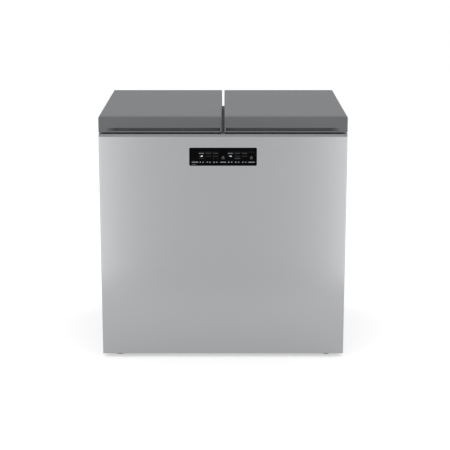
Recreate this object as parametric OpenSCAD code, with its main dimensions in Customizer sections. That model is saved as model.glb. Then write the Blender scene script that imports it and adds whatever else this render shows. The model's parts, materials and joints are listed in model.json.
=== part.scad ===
// Chest refrigerator with two top lids over two tubs, a flat steel front and a touch display.
// Millimetres. +Z is up and the front faces -Y. The origin is on the floor, at the middle of the
// overall box. The left-hand pieces are the mirror image of the right-hand ones.

/* [Cabinet] */
// Width over the side panels
cab_w = 926; // [880:2:1000]
// Depth from the front panel's face to the back panel's outer face
cab_d = 735; // [710:5:800]
// Height of the deck that the lids close on
deck_z = 871; // [840:1:920]
// Thickness of the steel sheets
sheet_t = 1; // [0.8:0.1:1.4]
// Radius of the cabinet's outer edges
edge_r = 4; // [3:0.5:6]
// Width of the sheets' folded edges
fold_w = 18; // [14:1:22]
// Height of the front panel's lower edge above the floor
skirt_z = 15; // [12:1:20]
// Height of the base pan's underside above the floor
pan_z = 28; // [26:1:34]
// Thickness of the base pan
pan_t = 2; // [1.5:0.5:3]
// Height of the base pan's turned-up rim
pan_rim_h = 20; // [15:1:25]

/* [Top frame] */
// Height of the strip that shows between the front panel and the lids
frame_h = 10; // [8:1:14]
// Thickness of the top frame
frame_t = 3; // [2:0.5:4]
// Depth of the collars that reach down into the tubs
collar_h = 18; // [14:1:24]

/* [Tubs] */
// Thickness of the insulated side walls, inside to outside
side_wall = 60; // [54:1:75]
// Thickness of the insulated front wall
front_wall = 60; // [54:1:75]
// Thickness of the insulated back wall
back_wall = 62; // [56:1:75]
// Thickness of the wall between the two tubs
mid_wall = 58; // [54:1:70]
// Height of the front well's floor
well_z = 190; // [150:5:220]
// Depth of the front well, front to back
well_d = 305; // [280:5:320]
// Height of the step's floor over the machine room
step_z = 365; // [350:5:400]
// Thickness of the tubs' plastic
tub_t = 1.5; // [1.2:0.1:2]
// Radius of the tubs' upright corners
tub_r = 35; // [30:1:45]
// Radius round the tubs' floors
tub_floor_r = 22; // [15:1:28]
// Width of the flange round each tub's mouth
tub_flange_w = 10; // [8:1:14]

/* [Lids] */
// Distance that the lids reach back past the back panel
lid_back = 23; // [20:1:30]
// Thickness of a lid
lid_t = 58; // [52:1:70]
// Gap between the two lids
lid_gap = 10; // [8:1:14]
// Height of a lid's underside above the deck
lid_lift = 7; // [6:0.5:9]
// Thickness of a lid's skin
skin_t = 2.5; // [2:0.5:3.5]
// Radius of a lid's top front edge
nose_r = 14; // [10:1:18]
// Radius of a lid's top rear edge
tail_r = 8; // [6:1:12]
// Radius of a lid's side and upright edges
lid_edge_r = 4; // [3:0.5:6]
// Length over which the lid's top falls towards the front
crown_l = 60; // [40:5:100]
// Drop of the lid's top over that length
crown_drop = 2; // [1:0.5:3]
// Depth of the lid's plug in the tub's mouth
plug_h = 26; // [18:1:32]
// Gap between the plug and the tub's mouth
plug_gap = 8; // [6:1:12]

/* [Lid grips] */
// Distance from a lid's outer edge to the start of its grip
grip_outer = 26; // [20:1:60]
// Distance from a lid's inner edge to the end of its grip
grip_inner = 4; // [3:0.5:30]
// Depth of the grip
grip_d = 20; // [16:1:26]
// Length of the slope at the grip's outer end
grip_slope = 38; // [20:1:60]
// Height of the lip under the grip
grip_lip = 3.5; // [3:0.5:5]
// Height of the grip's mouth
grip_h = 15; // [13:1:20]
// Wall of the plastic grip insert
grip_t = 1.5; // [1.2:0.1:2]

/* [Gaskets and bumpers] */
// Distance from a lid's outer sides to its gasket
gasket_in = 16; // [14:1:20]
// Distance from a lid's inner edge to its gasket
gasket_mid_in = 8; // [6:1:10]
// Distance from a lid's rear edge to its gasket
gasket_rear_in = 57; // [57:1:60]
// Width of the gasket
gasket_w = 12; // [10:1:14]
// Outer radius of the gasket's corners
gasket_r = 30; // [24:1:40]
// Width of the rubber bumpers at the lids' front inner corners
bumper_w = 16; // [12:1:24]
// Distance from a lid's inner edge to its bumper
bumper_in = 13; // [10:1:30]
// Depth of the bumpers, front to back
bumper_d = 9; // [7:1:11]

/* [Hinges] */
// Distance from a lid's edges to the middle of its hinges
hinge_in = 85; // [60:5:140]
// Distance of the hinge pins forward of the lids' rear face
pin_in = 7; // [7:0.5:8]
// Radius of the hinge pins
pin_r = 3; // [2.5:0.25:3]
// Radius of the hinge knuckles
knuckle_r = 6; // [5.5:0.25:6]
// Length of each of a hinge's two knuckles
knuckle_l = 12; // [10:1:16]
// Length of a hinge's torsion spring
spring_l = 20; // [20:1:26]
// Wire of the torsion spring
spring_wire = 1.5; // [1.2:0.1:1.6]
// Turns of the torsion spring
spring_turns = 8; // [5:1:9]
// Thickness of the hinge brackets and their ears
bracket_t = 3; // [2.5:0.5:4]
// Height of the hinge brackets
bracket_h = 72; // [60:1:90]
// Thickness of the hinge leaves
leaf_t = 2.5; // [2:0.5:3]
// Length of the hinge leaves forward of the pins
leaf_l = 42; // [38:1:44]

/* [Display] */
// Width of the display window
disp_w = 252; // [200:2:280]
// Height of the display window
disp_h = 68; // [50:1:80]
// Height of the display's middle above the floor
disp_z = 786; // [760:1:790]
// Corner radius of the display window
disp_r = 5; // [3:0.5:8]
// Thickness of the display's glass
glass_t = 2.5; // [2:0.5:3]
// Depth of the display's housing behind the front panel
disp_d = 24; // [20:1:28]
// Wall of the plastic housings
box_t = 2; // [1.5:0.5:3]
// Thickness of the circuit boards
board_t = 1.6; // [1.2:0.2:2]

/* [Feet and rollers] */
// Distance of the feet and rollers from the cabinet's sides
foot_in = 63; // [55:1:90]
// Distance of the front feet from the front panel
foot_front = 60; // [50:1:90]
// Distance of the rear rollers from the back panel
roller_back = 55; // [45:1:80]
// Radius of a levelling foot's pad
foot_r = 19; // [15:1:24]
// Thickness of a levelling foot's pad
foot_pad_h = 8; // [6:1:9]
// Radius of a levelling foot's stem
stem_r = 5; // [4:0.5:6]
// Radius of the rear rollers
roller_r = 13; // [11:0.5:13]
// Width of the rear rollers
roller_w = 18; // [14:1:24]
// Radius of the rollers' axles
axle_r = 3; // [2.5:0.5:4]
// Running clearance of pins, axles and stems in their bores
run_fit = 0.05; // [0.03:0.01:0.08]
// Gap that keeps one piece clear of another
seat_gap = 0.3; // [0.2:0.05:0.4]

/* [Machine room] */
// Insulation between the front well and the machine room
room_wall = 60; // [50:1:70]
// Insulation between the step and the machine room
room_roof = 65; // [55:1:70]
// Distance of the compressor from the middle
comp_x = 250; // [220:5:280]
// Radius of the compressor's shell
comp_r = 70; // [60:1:78]
// Height of the compressor's shell
comp_h = 165; // [140:1:180]
// Height of the compressor's rubber mounts
mount_h = 20; // [16:1:26]
// Distance that the terminal cover stands out from the compressor
term_d = 34; // [24:1:40]
// Width of the terminal cover
term_w = 46; // [36:1:56]
// Height of the terminal cover
term_h = 58; // [44:1:66]
// Radius of the studs that hold the compressor
stud_r = 4; // [3:0.5:5]
// Place of the fan's shroud, to the left of the middle
fan_x = -60; // [-70:1:-50]
// Radius of the fan's rotor
fan_r = 76; // [60:1:80]
// Number of fan blades
fan_blades = 5; // [3:1:7]
// Length of the fan's blades along their edges
blade_l = 52; // [40:1:56]
// Distance of the fan's rotor above the base pan
fan_lift = 30; // [22:1:40]
// Pitch of the fan's blades in degrees
fan_pitch = 32; // [20:1:40]
// Radius of the fan's shaft
shaft_r = 3; // [2:0.5:4]
// Place of the condenser's middle, to the left of the middle
cond_x = -170; // [-185:1:-165]
// Number of tube rows in the condenser
cond_rows = 6; // [4:2:6]
// Distance between the condenser's tube rows
cond_pitch = 30; // [26:1:32]
// Distance of the condenser's tube ends from the machine room's walls
cond_end = 45; // [40:1:55]
// Number of fins on the condenser
cond_fins = 16; // [8:1:20]
// Radius of the refrigerant tubes
tube_r = 4; // [3:0.5:4.5]
// Length of the filter drier
drier_l = 104; // [80:2:108]
// Width of the control box
ctrl_w = 150; // [130:5:155]
// Depth of the control box
ctrl_d = 80; // [70:5:85]
// Height of the control box
ctrl_h = 190; // [150:5:210]

/* [Evaporators] */
// Number of tube rows round each tub
coil_rows = 4; // [2:2:4]
// Distance between those rows
coil_pitch = 100; // [80:1:105]
// Distance of the tube rows' ends from the tubs' back walls
coil_end_in = 103; // [95:1:125]
// Height of the lowest row above the step's floor
coil_low = 105; // [90:1:110]

/* [Back] */
// Length of the spacers that hold the cabinet off a room's wall
spacer_l = 45; // [35:1:60]
// Height of the wall spacers above the floor
spacer_z = 620; // [500:5:700]
// Width of a wall spacer
spacer_w = 70; // [50:5:90]
// Height of a wall spacer, top to bottom
spacer_h = 40; // [30:5:60]
// Radius of the power cord's gland
gland_r = 12; // [10:0.5:14]
// Height of the cord's gland above the base pan
gland_lift = 60; // [50:1:80]
// Number of louvres in each field of the rear cover
louvres = 10; // [6:1:12]
// Distance between the louvres
louvre_pitch = 18; // [16:1:19]
// Width of a field of louvres
louvre_w = 170; // [120:5:200]

/* [Hidden] */
$fn = 48;

// Outer planes of the cabinet
half_w = cab_w / 2;
front_y = -(cab_d + spacer_l) / 2;
back_y = front_y + cab_d;
panel_top_z = deck_z - frame_h;
pan_top_z = pan_z + pan_t;

// Inside planes of the right-hand tub
tub_x0 = mid_wall / 2;
tub_x1 = half_w - side_wall;
tub_y0 = front_y + front_wall;
tub_y1 = back_y - back_wall;
well_y1 = tub_y0 + well_d;
tub_top_z = deck_z - frame_t;

// Machine room
room_y = well_y1 + room_wall;
room_z = step_z - room_roof;
inner_w = half_w - sheet_t - pan_t;
room_mid_y = (room_y + back_y) / 2;

// Right-hand lid
lid_x0 = lid_gap / 2;
lid_x1 = half_w;
lid_y1 = back_y + lid_back;
lid_z = deck_z + lid_lift;
lid_top_z = lid_z + lid_t;
grip_z = lid_z + grip_lip;
gasket_h = lid_lift - seat_gap;

// Hinges
pin_y = lid_y1 - pin_in;
pin_z = deck_z;
bore_r = pin_r + run_fit;
hinge_w = 2 * knuckle_l + spring_l + 4 * seat_gap;
hinge_xs = [lid_x0 + hinge_in, lid_x1 - hinge_in];

// Compressor, fan and condenser
comp_y = room_mid_y;
comp_z = pan_top_z + mount_h + bracket_t;
comp_feet = [comp_r * 1.2, comp_r * 0.86];
fan_y = room_mid_y;
fan_z = pan_top_z + fan_r + fan_lift;
shroud_half = fan_r + 18;
shroud_d = 26;
motor_r = 28;
motor_l = 38;
cond_y0 = room_y + cond_end;
cond_y1 = back_y - cond_end;
cond_z = pan_top_z + 28;
cond_dx = 15;
cond_top_z = cond_z + (cond_rows - 1) * cond_pitch;
bend_y = cond_y0 - 22;

// Evaporator tubes lie this far outside the tub's inside
coil_out = tub_t + seat_gap + tube_r;
coil_end_y = tub_y1 - coil_end_in;
coil_zs = [for (i = [0:coil_rows - 1]) step_z + coil_low + i * coil_pitch];
tail_end_z = room_z - 12;
tail_ys = [coil_end_y + 15, coil_end_y + coil_pitch / 2 + 30];
tail_x = tub_x0 - coil_out;

// Pipes in the machine room
suction_z = room_z - 24;
liquid_z = suction_z - 16;
drier_x0 = cond_x + cond_dx + 14;
drier_x = [drier_x0, drier_x0 + drier_l];

// Places of the feet and rollers
foot_x = half_w - foot_in;
foot_y = front_y + foot_front;
roller_y = back_y - roller_back;

// Moves its child to the left-hand side
module left() { mirror([1, 0, 0]) children(); }

// Makes its child on both sides
module both_sides() {
    children();
    left() children();
}

// Extrudes an outline drawn as (x, z) from y0 to y1
module along_y(y0, y1) {
    translate([0, y1, 0]) rotate([90, 0, 0]) linear_extrude(y1 - y0) children();
}

// Extrudes an outline drawn as (y, z) from x0 to x1
module along_x(x0, x1) {
    translate([x0, 0, 0]) rotate([90, 0, 90]) linear_extrude(x1 - x0) children();
}

// Extrudes an outline drawn as (x, y) from z0 to z1
module along_z(z0, z1) { translate([0, 0, z0]) linear_extrude(z1 - z0) children(); }

// Box from its low corner to its high corner
module block(lo, hi) { translate(lo) cube(hi - lo); }

// Rectangle from a to b, grown by g, with corners of radius r
module rounded_rect(a, b, r, g = 0) {
    lo = a - [g, g];
    hi = b + [g, g];
    translate(lo + [r, 0]) square([hi.x - lo.x - 2 * r, hi.y - lo.y]);
    translate(lo + [0, r]) square([hi.x - lo.x, hi.y - lo.y - 2 * r]);
    for (x = [lo.x + r, hi.x - r], y = [lo.y + r, hi.y - r]) translate([x, y]) circle(r);
}

// Outline whose lower corners have radius r
module bowl_outline(x0, x1, z0, z1, r) {
    translate([x0 + r, z0]) square([x1 - x0 - 2 * r, z1 - z0]);
    translate([x0, z0 + r]) square([x1 - x0, z1 - z0 - r]);
    for (x = [x0 + r, x1 - r]) translate([x, z0 + r]) circle(r);
}

// Upright-walled bowl, with upright corners of radius r and a floor edge of radius fr
module bowl(lo, hi, r, fr) {
    intersection() {
        along_z(lo.z, hi.z) rounded_rect([lo.x, lo.y], [hi.x, hi.y], r);
        along_y(lo.y, hi.y) bowl_outline(lo.x, hi.x, lo.z, hi.z, fr);
        along_x(lo.x, hi.x) bowl_outline(lo.y, hi.y, lo.z, hi.z, fr);
    }
}

// Rod of radius r from p to q
module rod(p, q, r) {
    v = q - p;
    translate(p) rotate([0, acos(v.z / norm(v)), atan2(v.y, v.x)]) cylinder(r = r, h = norm(v));
}

// Tube of radius r through the points ps, which turns a square corner at each inner point
module pipe(ps, r) {
    last = len(ps) - 1;
    turn = 2 * r;
    ways = [for (i = [1:last]) (ps[i] - ps[i - 1]) / norm(ps[i] - ps[i - 1])];
    for (i = [1:last])
        rod(ps[i - 1] + (i > 1 ? turn : 0) * ways[i - 1], ps[i] - (i < last ? turn : 0) * ways[i - 1], r);
    for (i = [1:1:last - 1]) {
        u = -ways[i];
        v = ways[i - 1];
        w = cross(u, v);
        translate(ps[i] - turn * (u + v))
            multmatrix([[u.x, v.x, w.x, 0], [u.y, v.y, w.y, 0], [u.z, v.z, w.z, 0]])
            rotate_extrude(angle = 90) translate([turn, 0]) circle(r);
    }
}

// Screw with its head above z = 0 and its shank t long below
module screw(t, head_r = 4) {
    cylinder(r = head_r, h = 1.6);
    translate([0, 0, -t]) cylinder(r = head_r / 2, h = t);
}

// Turns +Z to face the back
module to_back() { rotate([-90, 0, 0]) children(); }

// ---- Cabinet ----

module base_pan() {
    lo = [-half_w + sheet_t, front_y + fold_w + seat_gap, pan_z];
    hi = [half_w - sheet_t, back_y - 2 * sheet_t, pan_top_z];
    rim_z = pan_top_z + pan_rim_h;
    color("silver") difference() {
        union() {
            block(lo, hi);
            for (x = [lo.x, hi.x - pan_t]) block([x, lo.y, pan_z], [x + pan_t, hi.y, rim_z]);
            block(lo, [hi.x, lo.y + pan_t, rim_z]);
            block([-half_w + 2 * fold_w, hi.y, pan_z], [half_w - 2 * fold_w, hi.y + sheet_t, rim_z]);
        }
        both_sides() translate([foot_x, foot_y, pan_z - 1]) cylinder(r = stem_r + 1, h = pan_t + 2);
    }
}

module side_panel() {
    y0 = front_y + fold_w + seat_gap;
    z0 = pan_z - 6;
    color("lightgrey") {
        block([half_w - sheet_t, y0, z0], [half_w, back_y - sheet_t, panel_top_z]);
        block([half_w - fold_w, back_y - 2 * sheet_t, z0], [half_w, back_y - sheet_t, panel_top_z]);
    }
}

module side_panel_right() { side_panel(); }
module side_panel_left() { left() side_panel(); }

module back_panel() {
    color("grey") block([-half_w, back_y - sheet_t, room_z], [half_w, back_y, panel_top_z]);
}

// Solid of the front panel, set in by g from its faces
module front_form(g) {
    lo = [-half_w + g, front_y + g];
    hi = [half_w - g, front_y + 3 * fold_w];
    r = edge_r - g;
    z0 = skirt_z + g;
    intersection() {
        along_z(z0, panel_top_z) rounded_rect(lo, hi, r);
        along_y(lo.y, hi.y) bowl_outline(lo.x, hi.x, z0, panel_top_z, r);
        along_x(lo.x, hi.x) bowl_outline(lo.y, hi.y, z0, panel_top_z, r);
    }
}

module display_outline(g) {
    rounded_rect([-disp_w / 2, disp_z - disp_h / 2], [disp_w / 2, disp_z + disp_h / 2], disp_r, g);
}

module front_panel() {
    y1 = front_y + fold_w;
    color("silver") difference() {
        front_form(0);
        difference() {
            front_form(sheet_t);
            block([-half_w, front_y, panel_top_z - sheet_t], [half_w, y1, panel_top_z]);
        }
        block([-half_w - 1, y1, 0], [half_w + 1, y1 + 3 * fold_w, deck_z]);
        along_y(front_y - 1, front_y + 2 * sheet_t) display_outline(seat_gap);
    }
}

// Mouth of the right-hand tub, set in by g
module mouth_outline(g) { rounded_rect([tub_x0, tub_y0], [tub_x1, tub_y1], tub_r - g, -g); }

module top_frame() {
    lo = [-half_w, front_y];
    hi = [half_w, back_y];
    color("dimgrey") difference() {
        union() {
            difference() {
                along_z(panel_top_z, deck_z) rounded_rect(lo, hi, edge_r);
                along_z(panel_top_z - 1, tub_top_z) rounded_rect(lo, hi, edge_r, -frame_t);
            }
            both_sides() along_z(deck_z - collar_h, deck_z) mouth_outline(seat_gap);
        }
        both_sides() along_z(deck_z - collar_h - 1, deck_z + 1) mouth_outline(seat_gap + box_t);
    }
}

// Right-hand tub's hollow grown by g, up to the height top_z
module tub_form(g, top_z) {
    bowl([tub_x0 - g, tub_y0 - g, step_z - g], [tub_x1 + g, tub_y1 + g, top_z], tub_r + g, tub_floor_r + g);
    bowl([tub_x0 - g, tub_y0 - g, well_z - g], [tub_x1 + g, well_y1 + g, step_z + 2 * tub_floor_r],
        tub_r + g, tub_floor_r + g);
}

module tub() {
    color("whitesmoke") difference() {
        union() {
            tub_form(tub_t, tub_top_z);
            along_z(tub_top_z - tub_t, tub_top_z) mouth_outline(-tub_flange_w);
        }
        tub_form(0, tub_top_z + 1);
    }
}

module tub_right() { tub(); }
module tub_left() { left() tub(); }

// Small cover over the temperature sensor on each tub's back wall
sensor_size = [46, 6, 64];

module sensor_covers() {
    x = (tub_x0 + tub_x1 - sensor_size.x) / 2;
    z = coil_zs[0];
    color("white") both_sides() difference() {
        along_y(tub_y1 - sensor_size.y, tub_y1)
            rounded_rect([x, z], [x + sensor_size.x, z + sensor_size.z], 6);
        for (i = [1:5]) block([x + 8, tub_y1 - sensor_size.y - 1, z + i * 10],
            [x + sensor_size.x - 8, tub_y1 - 3, z + i * 10 + 3]);
    }
}

module machine_room_wall() {
    floor_z = pan_top_z;
    flange = 15;
    color("silver") difference() {
        union() {
            block([-inner_w, room_y, floor_z], [inner_w, room_y + sheet_t, room_z]);
            block([-inner_w, room_y, floor_z], [inner_w, room_y + flange, floor_z + sheet_t]);
            block([-inner_w, room_y, room_z - sheet_t], [inner_w, back_y - 2 * sheet_t, room_z]);
            block([-half_w + 2 * fold_w, back_y - 2 * sheet_t, room_z - flange],
                [half_w - 2 * fold_w, back_y - sheet_t, room_z]);
        }
        both_sides() for (y = tail_ys)
            translate([tail_x, y, room_z - 2]) cylinder(r = tube_r + 1, h = 4);
    }
}

module cabinet_foam() {
    g = inner_w - seat_gap;
    y0 = front_y + sheet_t + pan_t + seat_gap;
    y1 = back_y - 2 * sheet_t - seat_gap;
    duct = 2 * tube_r + 1;
    rim_in = [1, 1] * (fold_w + pan_t + 2 * seat_gap);
    z_low = coil_zs[0];
    z_high = coil_zs[coil_rows - 1];
    bend_back_y = coil_end_y + coil_pitch / 2 + duct / 2 + 1;
    color("khaki") difference() {
        block([-g, y0, pan_top_z + seat_gap], [g, y1, panel_top_z - sheet_t - seat_gap]);
        along_z(pan_z, pan_top_z + pan_rim_h + 1) difference() {
            square(2 * cab_w, center = true);
            translate([-half_w, front_y] + rim_in) square([cab_w, cab_d] - 2 * rim_in);
        }
        both_sides() {
            tub_form(tub_t + seat_gap, deck_z);
            translate([foot_x, foot_y, pan_z]) cylinder(r = stem_r + 2, h = pan_t + 8);
        }
        block([-half_w, room_y - seat_gap, 0], [half_w, back_y, room_z + seat_gap]);
        along_y(y0 - 1, front_y + disp_d + 2) display_outline(12);
        both_sides() {
            for (z = coil_zs) along_z(z - duct / 2, z + duct / 2)
                mouth_outline(-coil_out - duct / 2);
            for (x = [tail_x, tub_x1 + coil_out] - [duct, duct] / 2)
                block([x, coil_end_y - 1, z_low], [x + duct, bend_back_y, z_high]);
            for (y = tail_ys - [duct, duct] / 2)
                block([tail_x - duct / 2, y, room_z], [tail_x + duct / 2, y + duct, z_high + duct / 2]);
        }
    }
}

// ---- Evaporators ----

// Quarter bend of the tube about +Z, from angle a to a + 90 at radius r
module bend(r, a, sweep = 90) {
    rotate([0, 0, a]) rotate_extrude(angle = sweep) translate([r, 0]) circle(tube_r);
}

// One row of tube round three sides of the tub
module coil_row(z, end_a, end_b) {
    corner_y = tub_y0 + tub_r;
    translate([0, 0, z]) {
        rod([tail_x, corner_y, 0], [tail_x, end_a, 0], tube_r);
        rod([tub_x0 + tub_r, tub_y0 - coil_out, 0], [tub_x1 - tub_r, tub_y0 - coil_out, 0], tube_r);
        rod([tub_x1 + coil_out, corner_y, 0], [tub_x1 + coil_out, end_b, 0], tube_r);
        translate([tub_x0 + tub_r, corner_y, 0]) bend(tub_r + coil_out, 180);
        translate([tub_x1 - tub_r, corner_y, 0]) bend(tub_r + coil_out, 270);
    }
}

// Return bend between the rows at z and the next one up, standing upright at x
module coil_return(x, z) {
    translate([x, coil_end_y, z + coil_pitch / 2]) rotate([0, 90, 0]) bend(coil_pitch / 2, 0, 180);
}

module evaporator() {
    last = coil_rows - 1;
    color("peru") {
        for (i = [0:last]) coil_row(coil_zs[i], coil_end_y, coil_end_y);
        for (i = [0:2:last]) coil_return(tub_x1 + coil_out, coil_zs[i]);
        for (i = [1:2:last - 1]) coil_return(tail_x, coil_zs[i]);
        pipe([[tail_x, coil_end_y, coil_zs[0]], [tail_x, tail_ys[0], coil_zs[0]],
            [tail_x, tail_ys[0], tail_end_z]], tube_r);
        pipe([[tail_x, coil_end_y, coil_zs[last]], [tail_x, tail_ys[1], coil_zs[last]],
            [tail_x, tail_ys[1], tail_end_z]], tube_r);
    }
}

module evaporator_right() { evaporator(); }
module evaporator_left() { left() evaporator(); }

// ---- Display ----

module display_window() {
    color("black") along_y(front_y, front_y + glass_t) display_outline(0);
}

module display_housing() {
    y0 = front_y + sheet_t;
    y1 = front_y + disp_d;
    color("dimgrey") difference() {
        along_y(y0, y1) display_outline(8);
        along_y(y0 - 1, front_y + glass_t) display_outline(seat_gap);
        along_y(y0, y1 - box_t) display_outline(-4);
    }
}

module display_board() {
    y = front_y + glass_t + 8;
    size = [disp_w - 20, disp_h - 16];
    color("darkgreen") translate([0, 0, disp_z]) {
        along_y(y, y + board_t) square(size, center = true);
        for (i = [-3:3]) along_y(y - 3, y) translate([i * size.x / 7, 6]) circle(3);
        along_y(y + board_t, front_y + disp_d - box_t) square([24, 10], center = true);
    }
}

// ---- Machine room ----

// Outline of the compressor's shell, from its axis outwards
module shell_outline() {
    dome = comp_r * 0.42;
    intersection() {
        rounded_rect([-comp_r, 0], [comp_r, comp_h], dome);
        square([comp_r, comp_h]);
    }
    translate([0, comp_h * 0.52]) square([comp_r + 4, 5]);
}

stub_l = 24;
suction_stub = [comp_x - comp_r - stub_l, comp_y + 22, comp_z + comp_h * 0.75];
discharge_stub = [comp_x - comp_r - stub_l, comp_y - 22, comp_z + comp_h * 0.38];

module compressor() {
    color("black") difference() {
        union() {
            translate([comp_x, comp_y, comp_z]) rotate_extrude() shell_outline();
            for (p = [suction_stub, discharge_stub]) rod(p, [comp_x, p.y, p.z], tube_r + 1);
            translate([comp_x, comp_y, 0]) along_z(comp_z - bracket_t, comp_z)
                rounded_rect(-comp_feet - [16, 16], comp_feet + [16, 16], 16);
        }
        translate([comp_x, comp_y, comp_z - bracket_t - 1])
            for (x = [-1, 1], y = [-1, 1]) translate([x * comp_feet.x, y * comp_feet.y, 0])
                cylinder(r = stud_r + 4, h = bracket_t + 2);
    }
}

// Puts its child at each of the compressor's feet, on the base pan
module at_comp_feet() {
    for (x = [-1, 1], y = [-1, 1])
        translate([comp_x + x * comp_feet.x, comp_y + y * comp_feet.y, pan_top_z]) children();
}

module compressor_mounts() {
    neck = stud_r + 4 - seat_gap;
    color("black") at_comp_feet() difference() {
        union() {
            cylinder(r = stud_r + 9, h = mount_h);
            cylinder(r = neck, h = mount_h + bracket_t + 1);
            translate([0, 0, mount_h + bracket_t]) cylinder(r = stud_r + 7, h = 4);
        }
        translate([0, 0, -1]) cylinder(r = stud_r + seat_gap, h = mount_h + bracket_t + 6);
    }
}

module compressor_studs() {
    top = mount_h + bracket_t + 4;
    color("silver") at_comp_feet() {
        cylinder(r = stud_r, h = top + 9);
        translate([0, 0, top]) cylinder(r = stud_r + 5, h = 1.5);
        translate([0, 0, top + 1.5]) cylinder(r = stud_r + 3.5, h = 5, $fn = 6);
    }
}

module terminal_cover() {
    size = [term_d, term_w, term_h];
    lo = [comp_x + comp_r - 8, comp_y - size.y / 2, comp_z + comp_h * 0.52 - size.z - 3];
    color("ivory") difference() {
        along_x(lo.x, lo.x + size.x) rounded_rect([lo.y, lo.z], [lo.y + size.y, lo.z + size.z], 6);
        along_x(lo.x - 1, lo.x + size.x - box_t)
            rounded_rect([lo.y, lo.z], [lo.y + size.y, lo.z + size.z], 6 - box_t, -box_t);
        translate([comp_x, comp_y, comp_z]) cylinder(r = comp_r + seat_gap, h = comp_h);
    }
}

// Place of tube i of the condenser, counted from the inlet down one column and up the other
function cond_tube(i) = i < cond_rows
    ? [cond_x - cond_dx, cond_top_z - i * cond_pitch]
    : [cond_x + cond_dx, cond_z + (i - cond_rows) * cond_pitch];

module condenser() {
    fin_lo = [cond_x - 2 * cond_dx, cond_z - 15];
    fin_hi = [cond_x + 2 * cond_dx, cond_top_z + 15];
    plate_t = 2;
    fin_t = 1;
    last = 2 * cond_rows - 1;
    step = (cond_y1 - cond_y0 - plate_t) / (cond_fins + 1);
    color("silver") {
        for (y = [cond_y0, cond_y1 - plate_t]) {
            along_y(y, y + plate_t) translate(fin_lo) square(fin_hi - fin_lo);
            block([fin_lo.x, y, pan_top_z], [fin_hi.x, y + plate_t, fin_lo[1]]);
        }
        for (y = [cond_y0, cond_y1 - 14])
            block([fin_lo.x, y, pan_top_z], [fin_hi.x, y + 14, pan_top_z + plate_t]);
        for (i = [1:cond_fins]) along_y(cond_y0 + i * step, cond_y0 + i * step + fin_t)
            translate(fin_lo) square(fin_hi - fin_lo);
        for (i = [0:last]) {
            p = cond_tube(i);
            rod([p.x, cond_y0 - 3, p[1]], [p.x, cond_y1 + 3, p[1]], tube_r);
        }
        for (i = [0:last - 1]) {
            a = cond_tube(i);
            b = cond_tube(i + 1);
            back = i % 2 == 0;
            turn = a.x == b.x ? [0, 90, 0] : [0, 0, 0];
            translate([(a.x + b.x) / 2, back ? cond_y1 + 3 : cond_y0 - 3, (a[1] + b[1]) / 2])
                rotate(turn) rotate([0, 0, back ? 0 : 180]) bend(norm(b - a) / 2, 0, 180);
        }
    }
}

arm_w = 8;
shroud_t = 2;

module fan_shroud() {
    bore = fan_r + 4;
    centre = [fan_y, fan_z];
    color("dimgrey") {
        along_x(fan_x, fan_x + shroud_t) difference() {
            union() {
                difference() {
                    translate([fan_y - shroud_half, pan_top_z])
                        square([2 * shroud_half, fan_z + shroud_half - pan_top_z]);
                    translate(centre) circle(bore);
                }
                for (a = [45:90:315]) translate(centre) rotate(a)
                    translate([0, -arm_w / 2]) square([bore + 2, arm_w]);
                translate(centre) circle(motor_r);
            }
            translate(centre) circle(shaft_r + 2);
        }
        along_x(fan_x + shroud_t, fan_x + shroud_d) translate(centre) difference() {
            circle(bore + 1 + shroud_t);
            circle(bore + 1);
        }
        block([fan_x + shroud_t, fan_y - shroud_half, pan_top_z],
            [fan_x + 14, fan_y + shroud_half, pan_top_z + shroud_t]);
    }
}

hub_r = 24;
rotor_x = [fan_x + shroud_t + 3, fan_x + shroud_d - 3];

module fan_motor() {
    color("grey") translate([fan_x, fan_y, fan_z]) rotate([0, 90, 0]) {
        translate([0, 0, -motor_l]) cylinder(r = motor_r - 4, h = motor_l);
        translate([0, 0, -motor_l / 2 - 6]) cylinder(r = motor_r, h = 12);
        cylinder(r = shaft_r, h = rotor_x[1] - fan_x - 4);
    }
}

module fan_rotor() {
    depth = rotor_x[1] - rotor_x[0];
    color("black") translate([rotor_x[0], fan_y, fan_z]) rotate([0, 90, 0]) difference() {
        union() {
            cylinder(r = hub_r, h = depth);
            intersection() {
                cylinder(r = fan_r, h = depth);
                for (i = [0:fan_blades - 1]) rotate([0, 0, i * 360 / fan_blades])
                    translate([0, 0, depth / 2]) rotate([fan_pitch, 0, 0])
                        translate([hub_r - 4, -blade_l / 2, -1]) cube([fan_r, blade_l, 2]);
            }
        }
        translate([0, 0, -1]) cylinder(r = shaft_r + run_fit, h = depth - 2);
    }
}

module filter_drier() {
    r = 11;
    cone_l = 12;
    x = drier_x;
    l = x[1] - x[0] - 2 * cone_l;
    color("peru") translate([x[0], tail_ys[0], liquid_z]) rotate([0, 90, 0]) {
        cylinder(r1 = tube_r, r2 = r, h = cone_l);
        translate([0, 0, cone_l]) cylinder(r = r, h = l);
        translate([0, 0, cone_l + l]) cylinder(r1 = r, r2 = tube_r, h = cone_l);
    }
}

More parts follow.
